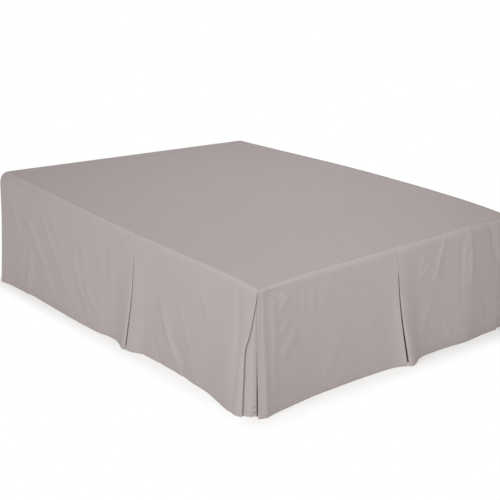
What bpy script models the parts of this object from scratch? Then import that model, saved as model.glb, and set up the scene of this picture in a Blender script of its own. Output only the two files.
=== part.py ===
"""Tailored bed skirt with inverted pleats, on a plain mattress and bed base.

Metres, +Z up.  X runs across the bed, Y along it with the head at +Y, and the floor is at
Z = 0.  The origin is the middle of the skirt's box on the floor.  The skirt is a smooth
platform over the mattress, three drops that hang from the platform's edge to the floor,
each with one inverted pleat, and two inserts behind the open corners at the foot.
"""

import math

import bmesh
import bpy

# The bed: a mattress on a divan base with four short feet
MATTRESS_WIDTH = 1.518
MATTRESS_DEPTH = 0.234
MATTRESS_EDGE = 0.036
MATTRESS_CORNER = 0.048
BASE_EDGE = 0.010
BASE_CORNER = 0.030
BASE_INSET = 0.012
FOOT_HEIGHT = 0.045
FOOT_RADIUS = 0.028
FOOT_TIP_RADIUS = 0.024
FOOT_SIDES = 20
FOOT_INSET = 0.120
SEAT_GAP = 0.0003
TOP_GAP = 0.0008

# The cloth: places of its outer planes, its thickness and its pleats
SIDE_PLANE = 0.772
FOOT_PLANE = 0.985
HEAD_END = 1.0240
HEAD_TURN_DOWN = 0.050
HEAD_ROLL = 0.030
HANG_GAP = 0.013
DECK_HEIGHT = 0.5345
CLOTH = 0.0014
HEM_CLEARANCE = 0.0012
SEAM_GAP = 0.0006
LAYER_AT_TOP = 0.0022
LAYER_AT_HEM = 0.0056
INSERT_DEPTH_AT_TOP = 0.0044
INSERT_DEPTH_AT_HEM = 0.0128
INSERT_REACH = 0.180
INSERT_BEND_AT_TOP = 0.006
INSERT_BEND_AT_HEM = 0.022
PLEAT_DEPTH = 0.075

# How softly the mattress yields: a low crown, and its two foot corners pressed down
CROWN = 0.004
MATTRESS_SLACK = 1.3
CORNER_SPREAD = 0.170
NEAR_CORNER_DROOP = 0.011
FAR_CORNER_DROOP = 0.009

# How unevenly the mattress lies: place along the bed, height of its left or right edge
LEFT_LIE = (
    (-0.350, 0.0000),
    (-0.100, 0.0015),
    (0.100, 0.0050),
    (0.340, 0.0125),
    (0.570, 0.0205),
    (0.800, 0.0290),
    (1.030, 0.0380),
)
RIGHT_LIE = (
    (-0.900, 0.0000),
    (-0.600, 0.0040),
    (-0.350, 0.0060),
    (-0.100, 0.0050),
    (0.100, 0.0020),
    (0.340, -0.0040),
    (0.570, -0.0105),
    (0.800, -0.0165),
    (1.030, -0.0220),
)

# Steps of the cloth meshes
ROLL_ANGLES = (0, 34, 62, 90)
FALLS = (0.07, 0.17, 0.29, 0.42, 0.56, 0.70, 0.85, 1.0)
FOLD_ANGLES = (45, 0, -45)
TURN_ANGLES = (22.5, 45.0, 67.5)
HEAD_ANGLES = (30, 60, 90)
PANEL_STEPS = 10
FLAP_STEPS = 4
UNDERLAY_STEPS = 4
INSERT_STEPS = 7
PLATFORM_COLUMNS = 16
PLATFORM_ROWS = 20
END_CROWDING = 0.11

# Distances from a drop's head end of the columns that follow the rounded head corner
HEAD_COLUMNS = (0.0, 0.004, 0.011, 0.021, 0.034)

# Steps of the mattress top across and along, and of its rounded edges
TOP_COLUMNS = 10
TOP_ROWS = 18
EDGE_STEPS = 3

# Radius with which each drop rolls over the mattress edge: place along the drop, radius
LEFT_ROLL = (
    (-1.027, 0.034),
    (-0.350, 0.030),
    (0.150, 0.023),
    (0.985, 0.013),
)
FOOT_ROLL = (
    (-0.772, 0.013),
    (-0.200, 0.026),
    (0.300, 0.030),
    (0.772, 0.038),
)
RIGHT_ROLL = (
    (-0.985, 0.038),
    (-0.500, 0.023),
    (0.150, 0.020),
    (1.027, 0.036),
)

# How far each hem stands out of its plane: place along the drop, distance outwards
LEFT_HEM = (
    (-1.010, 0.036),
    (-0.930, 0.021),
    (-0.760, 0.012),
    (-0.520, 0.017),
    (-0.290, 0.021),
    (-0.130, 0.017),
    (-0.042, 0.000),
    (0.030, 0.009),
    (0.072, 0.026),
    (0.100, 0.036),
    (0.113, 0.029),
    (0.142, 0.027),
    (0.173, 0.014),
    (0.206, -0.003),
    (0.478, -0.003),
    (0.578, 0.008),
    (0.678, 0.014),
    (0.778, 0.034),
    (0.868, 0.053),
    (0.918, 0.057),
    (0.945, 0.047),
    (0.985, 0.016),
)
FOOT_HEM = (
    (-0.775, 0.019),
    (-0.745, 0.027),
    (-0.700, 0.019),
    (-0.590, 0.007),
    (-0.440, -0.005),
    (-0.240, -0.007),
    (-0.060, -0.002),
    (-0.005, 0.004),
    (0.040, 0.025),
    (0.062, 0.039),
    (0.092, 0.030),
    (0.120, 0.013),
    (0.156, -0.002),
    (0.220, -0.007),
    (0.360, -0.007),
    (0.470, -0.003),
    (0.590, -0.006),
    (0.700, -0.004),
    (0.772, 0.012),
)
RIGHT_HEM = (
    (-0.985, 0.015),
    (-0.940, 0.044),
    (-0.905, 0.0566),
    (-0.850, 0.049),
    (-0.750, 0.026),
    (-0.610, 0.010),
    (-0.400, 0.002),
    (-0.215, 0.001),
    (-0.155, 0.018),
    (-0.112, 0.031),
    (-0.075, 0.033),
    (-0.015, 0.006),
    (0.120, 0.012),
    (0.310, 0.019),
    (0.560, 0.014),
    (0.810, 0.012),
    (0.940, 0.023),
    (1.012, 0.035),
)

# Where a line down the cloth lies along its drop: share of the fall, place
LEFT_START = ((0.0, -1.0241), (1.0, -1.006))
LEFT_PLEAT = ((0.0, 0.163), (0.4, 0.152), (1.0, 0.113))
LEFT_END = ((0.0, 0.978), (0.15, 0.963), (0.36, 0.940), (0.46, 0.922), (0.56, 0.925), (1.0, 0.943))
FOOT_START = ((0.0, -0.7735), (1.0, -0.775))
FOOT_PLEAT = ((0.0, -0.026), (0.4, -0.004), (1.0, 0.047))
FOOT_END = ((0.0, 0.7735), (0.12, 0.745), (0.30, 0.662), (0.42, 0.640), (1.0, 0.664))
RIGHT_START = ((0.0, -0.978), (0.2, -0.972), (0.5, -0.956), (1.0, -0.941))
RIGHT_PLEAT = ((0.0, -0.118), (0.5, -0.108), (1.0, -0.098))
RIGHT_END = ((0.0, 1.0241), (1.0, 1.008))

# How far along a drop its folds lean with the pleat or the end beside them
LEAN_SPREAD = 0.22

# How wide each pleat stands open: share of the fall, distance between its two edge lines
FLAP_GAP = ((0.0, 0.0042), (0.10, 0.0045), (0.22, 0.0085), (1.0, 0.0120))

# Share of its hem flare that the cloth has reached: share of the fall, share of the flare
FLARE_GROWTH = ((0.0, 0.0), (0.3, 0.16), (0.6, 0.46), (1.0, 1.0))

COLOURS = {
    "platform": (0.420, 0.374, 0.353),
    "drop": (0.446, 0.402, 0.376),
    "insert": (0.446, 0.402, 0.376),
    "mattress": (0.640, 0.620, 0.590),
    "base": (0.520, 0.500, 0.470),
    "wood": (0.250, 0.160, 0.090),
}


def curve_through(rows):
    """Give a smooth curve through (place, value) rows that doesn't overshoot them."""
    places = [row[0] for row in rows]
    values = [row[1] for row in rows]
    steps = [after - before for before, after in zip(places, places[1:])]
    rises = [after - before for before, after in zip(values, values[1:])]
    grades = [rise / step for rise, step in zip(rises, steps)]
    slopes = [grades[0]]
    for before, after in zip(grades, grades[1:]):
        level = before * after <= 0
        slopes.append(0.0 if level else 2 * before * after / (before + after))
    slopes.append(grades[-1])

    def value_at(place):
        place = min(max(place, places[0]), places[-1])
        span = 0
        while span < len(steps) - 1 and place > places[span + 1]:
            span += 1
        step = steps[span]
        part = (place - places[span]) / step
        rest = 1 - part
        return (
            values[span] * rest * rest * (1 + 2 * part)
            + values[span + 1] * part * part * (1 + 2 * rest)
            + step * part * rest * (slopes[span] * rest - slopes[span + 1] * part)
        )

    return value_at


def mix(first, second, share):
    """Give the value at a share of the way from the first to the second."""
    return first + (second - first) * share


def deck_level(x, y, slack=1.0):
    """Give the height of the platform's middle surface, crowned and soft at the corners."""
    across = min(abs(x) / SIDE_PLANE, 1.0)
    along = min(abs(y) / HEAD_END, 1.0)
    crown = CROWN * (1 - across * across) * (1 - along * along)
    right_share = (max(min(x / SIDE_PLANE, 1.0), -1.0) + 1) / 2
    lie = mix(left_lie(y), right_lie(y), right_share)
    near = math.hypot(x + SIDE_PLANE, y + FOOT_PLANE) / CORNER_SPREAD
    far = math.hypot(x - SIDE_PLANE, y + FOOT_PLANE) / CORNER_SPREAD
    droop = NEAR_CORNER_DROOP * math.exp(-near * near) + FAR_CORNER_DROOP * math.exp(-far * far)
    return DECK_HEIGHT - CLOTH / 2 + crown + lie - droop * slack


def seam_level(x, y):
    """Give the height at which a drop is sewn on: the platform's, rounded off at the head."""
    beyond = min(max(y - HEAD_END + HEAD_ROLL, 0.0), HEAD_ROLL * 0.98)
    return deck_level(x, y) - HEAD_ROLL + math.sqrt(HEAD_ROLL * HEAD_ROLL - beyond * beyond)


left_lie = curve_through(LEFT_LIE)
right_lie = curve_through(RIGHT_LIE)
flare_growth = curve_through(FLARE_GROWTH)
flap_gap = curve_through(FLAP_GAP)


class Side:
    """One side of the bed with the drop that hangs there, measured along and outwards."""

    def __init__(self, along, outward, plane, roll, hem, start, pleat, end):
        self.along = along
        self.outward = outward
        self.plane = plane
        self.roll = curve_through(roll)
        self.hem = curve_through(hem)
        self.start = curve_through(start)
        self.pleat = curve_through(pleat)
        self.end = curve_through(end)

    def flare(self, place, fall):
        """How far the cloth stands out of its plane at a place and a share of the fall."""
        at_hem = place
        for line in (self.start, self.pleat, self.end):
            away = (place - line(fall)) / LEAN_SPREAD
            at_hem += (line(1.0) - line(fall)) * math.exp(-away * away)
        return self.hem(at_hem) * flare_growth(fall)

    def plan(self, place, out):
        """The x and y of a place along the side and a distance out from the middle."""
        x = self.along[0] * place + self.outward[0] * out
        y = self.along[1] * place + self.outward[1] * out
        return x, y

    def point(self, place, layer, flare, angle, fall):
        """A point of the cloth: layer counts from 0 outside to -2 next to the bed."""
        radius = self.roll(place)
        lift = layer * mix(LAYER_AT_TOP, LAYER_AT_HEM, fall)
        bend = math.radians(angle)
        out = self.plane - radius + (radius + lift) * math.sin(bend) + flare
        seam = seam_level(*self.plan(place, self.plane - radius))
        top = seam - radius + (radius + lift) * math.cos(bend)
        x, y = self.plan(place, out)
        return x, y, mix(top, HEM_CLEARANCE, fall)


LEFT = Side((0, -1), (-1, 0), SIDE_PLANE, LEFT_ROLL, LEFT_HEM, LEFT_START, LEFT_PLEAT, LEFT_END)
FOOT = Side((1, 0), (0, -1), FOOT_PLANE, FOOT_ROLL, FOOT_HEM, FOOT_START, FOOT_PLEAT, FOOT_END)
RIGHT = Side(
    (0, 1), (1, 0), SIDE_PLANE, RIGHT_ROLL, RIGHT_HEM, RIGHT_START, RIGHT_PLEAT, RIGHT_END
)


def make_material(name, colour, roughness):
    """A plain Principled material."""
    material = bpy.data.materials.new(name)
    material.use_nodes = True
    shader = material.node_tree.nodes["Principled BSDF"]
    shader.inputs["Base Color"].default_value = (*colour, 1.0)
    shader.inputs["Roughness"].default_value = roughness
    shader.inputs["Metallic"].default_value = 0.0
    return material


def add_object(name, mesh, colour, roughness=0.9):
    """Put a mesh in the part's collection under its node's name, with its own material."""
    part = bpy.data.objects.new(name, mesh)
    part.data.materials.append(make_material(name + "_finish", COLOURS[colour], roughness))
    COLLECTION.objects.link(part)
    return part


def loft(name, rows, colour):
    """Join rows of points, each with as many points, into a sheet with the cloth's thickness."""
    width = len(rows[0])
    points = [point for row in rows for point in row]
    faces = []
    for row in range(len(rows) - 1):
        for column in range(width - 1):
            corner = row * width + column
            faces.append((corner, corner + 1, corner + width + 1, corner + width))
    mesh = bpy.data.meshes.new(name)
    mesh.from_pydata(points, [], [tuple(reversed(face)) for face in faces])
    mesh.shade_smooth()
    sheet = add_object(name, mesh, colour)
    thick = sheet.modifiers.new("Thickness", "SOLIDIFY")
    thick.thickness = CLOTH
    thick.offset = 0.0
    return sheet


def evenly(first, last, count):
    """Places from first to last, all the same distance apart."""
    return [mix(first, last, index / count) for index in range(count + 1)]


def spaced(first, last, count):
    """Places from first to last, closer together near both ends."""
    places = []
    for share in evenly(0.0, 1.0, count):
        share -= END_CROWDING * math.sin(2 * math.pi * share)
        places.append(mix(first, last, share))
    return places


def fold(place, direction, layer_from, layer_to, fall):
    """Points round a fold: the cloth turns back at a place from one layer to the next."""
    radius = mix(LAYER_AT_TOP, LAYER_AT_HEM, fall) / 2
    middle = (layer_from + layer_to) / 2
    turn = layer_from - middle
    return [
        (
            place + direction * radius * math.cos(math.radians(angle)),
            middle + turn * math.sin(math.radians(angle)),
            place,
        )
        for angle in FOLD_ANGLES
    ]


def run(places, layer):
    """Points of a flat run in one layer."""
    return [(place, layer, place) for place in places]


def roll_shift(side, place, angle):
    """How far a corner edge draws in where the cloth rolls over onto the platform."""
    return side.roll(place) * (1 - math.sin(math.radians(angle)))


def drop_section(side, angle, fall, folded_start, folded_end):
    """One level of a drop from its start to its end, with its pleat folded in."""
    start = side.start(fall)
    end = side.end(fall)
    if folded_start:
        start += roll_shift(side, start, angle)
    if folded_end:
        end -= roll_shift(side, end, angle)
    pleat = side.pleat(fall)
    half_gap = flap_gap(fall) / 2
    left_edge = pleat - half_gap
    right_edge = pleat + half_gap
    left_depth = pleat - PLEAT_DEPTH
    right_depth = pleat + PLEAT_DEPTH

    section = []
    if folded_start:
        panel_start = start + PLEAT_DEPTH
        section += run(spaced(panel_start, start, FLAP_STEPS), -1)
        section += fold(start, -1, -1, 0, fall)
        section += run(spaced(start, panel_start, FLAP_STEPS)[:-1], 0)
    else:
        panel_start = start + HEAD_COLUMNS[-1]
        section += run([start + distance for distance in HEAD_COLUMNS[:-1]], 0)
    section += run(evenly(panel_start, left_depth, PANEL_STEPS)[:-1], 0)
    section += run(spaced(left_depth, left_edge, FLAP_STEPS), 0)
    section += fold(left_edge, 1, 0, -1, fall)
    section += run(spaced(left_edge, left_depth, FLAP_STEPS), -1)
    section += fold(left_depth, -1, -1, -2, fall)
    underlay = len(section)
    section += run(evenly(left_depth, right_depth, UNDERLAY_STEPS), -2)
    underlay_end = len(section)
    section += fold(right_depth, 1, -2, -1, fall)
    section += run(spaced(right_depth, right_edge, FLAP_STEPS), -1)
    section += fold(right_edge, -1, -1, 0, fall)
    section += run(spaced(right_edge, right_depth, FLAP_STEPS), 0)
    panel_end = end - (PLEAT_DEPTH if folded_end else HEAD_COLUMNS[-1])
    section += run(evenly(right_depth, panel_end, PANEL_STEPS)[1:], 0)
    if folded_end:
        section += run(spaced(panel_end, end, FLAP_STEPS)[1:], 0)
        section += fold(end, 1, 0, -1, fall)
        section += run(spaced(end, panel_end, FLAP_STEPS), -1)
    else:
        section += run([end - distance for distance in reversed(HEAD_COLUMNS[:-1])], 0)

    points = []
    for index, (place, layer, flare_place) in enumerate(section):
        flare = side.flare(flare_place, fall)
        if underlay <= index < underlay_end:
            share = (place - left_depth) / (right_depth - left_depth)
            flare = mix(side.flare(left_depth, fall), side.flare(right_depth, fall), share)
        points.append(side.point(place, layer, flare, angle, fall))
    return points


def make_drop(name, side, folded_start, folded_end):
    """A drop: from the platform's seam over the mattress edge and down to the floor."""
    levels = [(angle, 0.0) for angle in ROLL_ANGLES] + [(90, fall) for fall in FALLS]
    rows = [drop_section(side, angle, fall, folded_start, folded_end) for angle, fall in levels]
    return loft(name, rows, "drop")


def insert_section(first, second, fall):
    """One level of a corner insert: behind the first drop's end and the second's start."""
    depth = mix(INSERT_DEPTH_AT_TOP, INSERT_DEPTH_AT_HEM, fall)
    bend = mix(INSERT_BEND_AT_TOP, INSERT_BEND_AT_HEM, fall)
    first_corner = second.plane
    second_corner = -first.plane
    first_face = first.plane + first.flare(first_corner, fall) - depth
    second_face = second.plane + second.flare(second_corner, fall) - depth
    points = []
    for place in spaced(first_corner - INSERT_REACH, second_face - bend, INSERT_STEPS):
        out = first.plane + first.flare(place, fall) - depth
        points.append(first.plan(place, out))
    for angle in TURN_ANGLES:
        turn = math.radians(angle)
        along = second_face - bend * (1 - math.sin(turn))
        out = first_face - bend * (1 - math.cos(turn))
        points.append(first.plan(along, out))
    for place in spaced(bend - first_face, second_corner + INSERT_REACH, INSERT_STEPS):
        out = second.plane + second.flare(place, fall) - depth
        points.append(second.plan(place, out))
    return points


def make_insert(name, first, second):
    """A corner insert: a strip bent round the corner behind the ends of two drops."""
    corner = first.plan(second.plane, first.plane)
    top = deck_level(*corner) - max(first.roll(second.plane), second.roll(-first.plane))
    rows = []
    for fall in (0.0,) + FALLS:
        height = mix(top, HEM_CLEARANCE, fall)
        rows.append([(x, y, height) for x, y in insert_section(first, second, fall)])
    return loft(name, rows, "insert")


def platform_row(share, angle, drop):
    """A row of the platform across the bed, at a share of the way from foot to head."""
    bend = math.radians(angle)
    head_line = HEAD_END - HEAD_ROLL
    row = []
    for part in evenly(0.0, 1.0, PLATFORM_COLUMNS):
        x = mix(-SIDE_PLANE, SIDE_PLANE, part)
        foot_line = SEAM_GAP + FOOT.roll(x) - FOOT_PLANE
        y = mix(foot_line, head_line, share) + HEAD_ROLL * math.sin(bend)
        left_line = SEAM_GAP + LEFT.roll(-y) - SIDE_PLANE
        right_line = SIDE_PLANE - SEAM_GAP - RIGHT.roll(y)
        x = mix(left_line, right_line, part)
        row.append((x, y, deck_level(x, y) - HEAD_ROLL * (1 - math.cos(bend)) - drop))
    return row


def make_platform():
    """The platform: a flat sheet over the mattress, turned down behind at the head."""
    rows = [platform_row(share, 0, 0.0) for share in spaced(0.0, 1.0, PLATFORM_ROWS)]
    rows += [platform_row(1.0, angle, 0.0) for angle in HEAD_ANGLES]
    rows += [platform_row(1.0, 90, HEAD_TURN_DOWN / 2), platform_row(1.0, 90, HEAD_TURN_DOWN)]
    return loft("platform", rows, "platform")


def make_block(name, low, high, corner, edge, colour):
    """A block from its low to its high point, its upright and top edges rounded."""
    form = bmesh.new()
    bmesh.ops.create_cube(form, size=1.0)
    for vertex in form.verts:
        for axis in range(3):
            vertex.co[axis] = high[axis] if vertex.co[axis] > 0 else low[axis]
    upright = [e for e in form.edges if abs(e.verts[0].co.z - e.verts[1].co.z) > edge]
    bmesh.ops.bevel(
        form, geom=upright, offset=corner, offset_type="OFFSET", segments=EDGE_STEPS,
        profile=0.5, affect="EDGES",
    )
    top = [e for e in form.edges if min(v.co.z for v in e.verts) > high[2] - edge / 10]
    rim = [e for e in top if any(abs(face.normal.z) < 0.5 for face in e.link_faces)]
    bmesh.ops.bevel(
        form, geom=rim, offset=edge, offset_type="OFFSET", segments=EDGE_STEPS, profile=0.5,
        affect="EDGES",
    )
    mesh = bpy.data.meshes.new(name)
    form.to_mesh(mesh)
    form.free()
    return add_object(name, mesh, colour)


def yield_to_deck(block, low, high):
    """Cut the block's top into a grid and press it to the form of the platform above."""
    form = bmesh.new()
    form.from_mesh(block.data)
    for axis, count in ((0, TOP_COLUMNS), (1, TOP_ROWS)):
        normal = [0.0, 0.0, 0.0]
        normal[axis] = 1.0
        for index in range(1, count):
            place = [0.0, 0.0, 0.0]
            place[axis] = mix(low[axis], high[axis], index / count)
            geometry = form.verts[:] + form.edges[:] + form.faces[:]
            bmesh.ops.bisect_plane(form, geom=geometry, plane_co=place, plane_no=normal)
    flat = DECK_HEIGHT - CLOTH / 2
    for vertex in form.verts:
        share = (vertex.co.z - low[2]) / (high[2] - low[2])
        level = deck_level(vertex.co.x, vertex.co.y, MATTRESS_SLACK)
        vertex.co.z += (level - flat) * share
    form.to_mesh(block.data)
    form.free()


def make_bed():
    """The plain bed: a mattress on a divan base on four round feet."""
    half_width = MATTRESS_WIDTH / 2
    foot_end = HANG_GAP - FOOT_PLANE
    head_end = HEAD_END - HANG_GAP
    top = DECK_HEIGHT - CLOTH - TOP_GAP
    low = (-half_width, foot_end, top - MATTRESS_DEPTH)
    high = (half_width, head_end, top)
    mattress = make_block("mattress", low, high, MATTRESS_CORNER, MATTRESS_EDGE, "mattress")
    yield_to_deck(mattress, low, high)

    base_low = (BASE_INSET - half_width, foot_end + BASE_INSET, FOOT_HEIGHT + SEAT_GAP)
    base_high = (half_width - BASE_INSET, head_end - BASE_INSET, low[2] - SEAT_GAP)
    make_block("bed_base", base_low, base_high, BASE_CORNER, BASE_EDGE, "base")

    x_place = base_high[0] - FOOT_INSET
    y_places = {"foot": base_low[1] + FOOT_INSET, "head": base_high[1] - FOOT_INSET}
    for end, y_place in y_places.items():
        for side, x in (("left", -x_place), ("right", x_place)):
            form = bmesh.new()
            bmesh.ops.create_cone(
                form, cap_ends=True, segments=FOOT_SIDES, radius1=FOOT_TIP_RADIUS,
                radius2=FOOT_RADIUS, depth=FOOT_HEIGHT,
            )
            mesh = bpy.data.meshes.new("divan_foot")
            form.to_mesh(mesh)
            form.free()
            leg = add_object(f"divan_foot_{end}_{side}", mesh, "wood", roughness=0.5)
            leg.location = (x, y_place, FOOT_HEIGHT / 2)


for old in list(bpy.data.objects):
    bpy.data.objects.remove(old)

COLLECTION = bpy.data.collections.new("bed_skirt")
bpy.context.scene.collection.children.link(COLLECTION)

make_bed()
make_platform()
make_drop("drop_left", LEFT, folded_start=False, folded_end=True)
make_drop("drop_foot", FOOT, folded_start=True, folded_end=True)
make_drop("drop_right", RIGHT, folded_start=True, folded_end=False)
make_insert("corner_insert_left", LEFT, FOOT)
make_insert("corner_insert_right", FOOT, RIGHT)
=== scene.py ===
"""Looks of the tailored bed skirt: its cloth, the plain bed under it, floor, light and camera.

Metres, +Z up, head of the bed at +Y.  Every cloth piece is a thin sheet in the form of its
solid, with the softer folds and the weave that the real cloth shows.
"""

import math

import bpy
import numpy as np
from mathutils import Matrix, Vector


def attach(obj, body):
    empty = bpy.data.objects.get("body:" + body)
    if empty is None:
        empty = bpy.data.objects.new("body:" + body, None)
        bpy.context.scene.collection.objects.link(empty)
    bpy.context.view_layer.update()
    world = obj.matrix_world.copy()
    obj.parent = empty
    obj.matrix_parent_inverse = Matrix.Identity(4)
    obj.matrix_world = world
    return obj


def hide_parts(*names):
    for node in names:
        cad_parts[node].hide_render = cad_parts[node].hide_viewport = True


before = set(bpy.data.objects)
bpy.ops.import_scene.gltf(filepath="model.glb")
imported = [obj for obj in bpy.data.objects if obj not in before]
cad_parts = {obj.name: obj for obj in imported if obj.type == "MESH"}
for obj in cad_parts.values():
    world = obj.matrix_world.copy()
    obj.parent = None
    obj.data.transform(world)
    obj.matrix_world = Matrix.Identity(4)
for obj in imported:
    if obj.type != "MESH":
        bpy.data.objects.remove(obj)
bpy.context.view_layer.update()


# The feet under the bed: four short ones, turned from beech and stained, each screwed to the
# base from below.
def linear(hex_colour):
    """Turn an sRGB hex colour into linear RGBA."""
    channels = [int(hex_colour[place:place + 2], 16) / 255 for place in (1, 3, 5)]
    return tuple(c / 12.92 if c < 0.04045 else ((c + 0.055) / 1.055) ** 2.4 for c in channels) + (1.0,)


def add_node(tree, kind, settings=None, sockets=None):
    """Add a node, give it its settings, and fill each socket with a value or a link."""
    node = tree.nodes.new(kind)
    for name, value in (settings or {}).items():
        setattr(node, name, value)
    for key, value in (sockets or {}).items():
        if isinstance(value, bpy.types.NodeSocket):
            tree.links.new(value, node.inputs[key])
        else:
            node.inputs[key].default_value = value
    return node


def stained_beech():
    """Beech under dark stain and satin lacquer: fine straight grain, a soft gloss."""
    material = bpy.data.materials.new("stained_beech")
    material.use_nodes = True
    tree = material.node_tree
    shader = tree.nodes["Principled BSDF"]
    place = add_node(tree, "ShaderNodeTexCoord")
    # the grain runs down the foot, its lines about 1.5 mm apart
    grain = add_node(tree, "ShaderNodeMapping", {}, {
        "Vector": place.outputs["Object"], "Scale": (650, 650, 22),
    })
    lines = add_node(tree, "ShaderNodeTexNoise", {}, {
        "Vector": grain.outputs[0], "Scale": 1.0, "Detail": 4.0,
    })
    tone = add_node(tree, "ShaderNodeMix", {"data_type": "RGBA"}, {
        "Factor": lines.outputs["Fac"], 6: linear("#3B281A"), 7: linear("#5A3F29"),
    })
    bump = add_node(tree, "ShaderNodeBump", {}, {
        "Height": lines.outputs["Fac"], "Strength": 0.3, "Distance": 0.0003,
    })
    tree.links.new(tone.outputs[2], shader.inputs["Base Color"])
    tree.links.new(bump.outputs[0], shader.inputs["Normal"])
    shader.inputs["Roughness"].default_value = 0.38
    return material


beech = stained_beech()
for foot_name in (
    "divan_foot_foot_left", "divan_foot_foot_right", "divan_foot_head_left", "divan_foot_head_right",
):
    foot_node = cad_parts[foot_name]
    foot_node.data.materials.clear()
    foot_node.data.materials.append(beech)



# The platform: the smooth panel that lies over the mattress, cut from one width of taupe
# polycotton, pressed flat, sewn to the drops round three sides and turned down at the head.
SIDE_PLANE = 0.772
FOOT_PLANE = 0.985
HEAD_END = 1.024
HEAD_ROLL = 0.030
DECK_HEIGHT = 0.5345
CLOTH = 0.0014
SEAM_GAP = 0.0002
HEM_CLEARANCE = 0.0012


def mix(first, second, share):
    """Give the value at a share of the way from the first to the second."""
    return first + (second - first) * share


def evenly(first, last, count):
    """Places from first to last, all the same distance apart."""
    return [mix(first, last, index / count) for index in range(count + 1)]


def crowded(first, last, count, crowding=0.13):
    """Places from first to last, closer together near both ends."""
    return [
        mix(first, last, share - crowding * math.sin(2 * math.pi * share))
        for share in evenly(0.0, 1.0, count)
    ]


def curve_through(rows):
    """Give a smooth curve through (place, value) rows that doesn't overshoot them."""
    places = [row[0] for row in rows]
    values = [row[1] for row in rows]
    steps = [after - before for before, after in zip(places, places[1:])]
    rises = [after - before for before, after in zip(values, values[1:])]
    grades = [rise / step for rise, step in zip(rises, steps)]
    slopes = [grades[0]]
    for before, after in zip(grades, grades[1:]):
        level = before * after <= 0
        slopes.append(0.0 if level else 2 * before * after / (before + after))
    slopes.append(grades[-1])

    def value_at(place):
        place = min(max(place, places[0]), places[-1])
        span = 0
        while span < len(steps) - 1 and place > places[span + 1]:
            span += 1
        step = steps[span]
        part = (place - places[span]) / step
        rest = 1 - part
        return (
            values[span] * rest * rest * (1 + 2 * part)
            + values[span + 1] * part * part * (1 + 2 * rest)
            + step * part * rest * (slopes[span] * rest - slopes[span + 1] * part)
        )

    return value_at


# radius with which each drop rolls over the mattress edge: place along the drop, radius
left_roll = curve_through(((-1.027, 0.034), (-0.350, 0.030), (0.150, 0.023), (0.985, 0.013)))
foot_roll = curve_through(((-0.772, 0.013), (-0.200, 0.026), (0.300, 0.030), (0.772, 0.038)))
right_roll = curve_through(((-0.985, 0.038), (-0.500, 0.023), (0.150, 0.020), (1.027, 0.036)))
# how unevenly the mattress lies: place along the bed, height of its left or right edge
left_lie = curve_through((
    (-0.350, 0.0000), (-0.100, 0.0015), (0.100, 0.0050), (0.340, 0.0125), (0.570, 0.0205),
    (0.800, 0.0290), (1.030, 0.0380),
))
right_lie = curve_through((
    (-0.900, 0.0000), (-0.600, 0.0040), (-0.350, 0.0060), (-0.100, 0.0050), (0.100, 0.0020),
    (0.340, -0.0040), (0.570, -0.0105), (0.800, -0.0165), (1.030, -0.0220),
))


def corner_droop(x, y):
    """How far the bed's two foot corners are pressed down at a place."""
    near = math.hypot(x + SIDE_PLANE, y + FOOT_PLANE) / 0.170
    far = math.hypot(x - SIDE_PLANE, y + FOOT_PLANE) / 0.170
    return 0.011 * math.exp(-near * near) + 0.009 * math.exp(-far * far)


def deck_level(x, y):
    """Height of the platform's middle surface: crowned, uneven, its foot corners pressed down."""
    across = min(abs(x) / SIDE_PLANE, 1.0)
    along = min(abs(y) / HEAD_END, 1.0)
    crown = 0.004 * (1 - across * across) * (1 - along * along)
    right_share = (max(min(x / SIDE_PLANE, 1.0), -1.0) + 1) / 2
    lie = mix(left_lie(y), right_lie(y), right_share)
    return DECK_HEIGHT - CLOTH / 2 + crown + lie - corner_droop(x, y)


def seam_level(x, y):
    """Height at which a drop is sewn on: the platform's, rounded off at the head."""
    beyond = min(max(y - HEAD_END + HEAD_ROLL, 0.0), HEAD_ROLL * 0.98)
    return deck_level(x, y) - HEAD_ROLL + math.sqrt(HEAD_ROLL * HEAD_ROLL - beyond * beyond)


def relief(creases, places, depths, strength=1.0, breadth=1.0):
    """Sum the creases at each point.  A crease is its height, its half width and its line."""
    total = np.zeros(places.shape)
    for height, half_width, line in creases:
        lengths = [math.dist(a, b) for a, b in zip(line, line[1:])]
        whole = sum(lengths)
        nearest = np.full(places.shape, 1e9)
        share = np.zeros(places.shape)
        walked = 0.0
        for (a_place, a_depth), (b_place, b_depth), length in zip(line, line[1:], lengths):
            run_place = (b_place - a_place) / length
            run_depth = (b_depth - a_depth) / length
            walk = (places - a_place) * run_place + (depths - a_depth) * run_depth
            walk = np.clip(walk, 0, length)
            away = np.hypot(places - a_place - run_place * walk, depths - a_depth - run_depth * walk)
            closer = away < nearest
            nearest = np.where(closer, away, nearest)
            share = np.where(closer, (walked + walk) / whole, share)
            walked += length
        fade = np.sqrt(np.clip(np.sin(np.pi * share), 0, 1))
        total += strength * height * fade * np.exp(-((nearest / half_width / breadth) ** 2))
    return total


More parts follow.
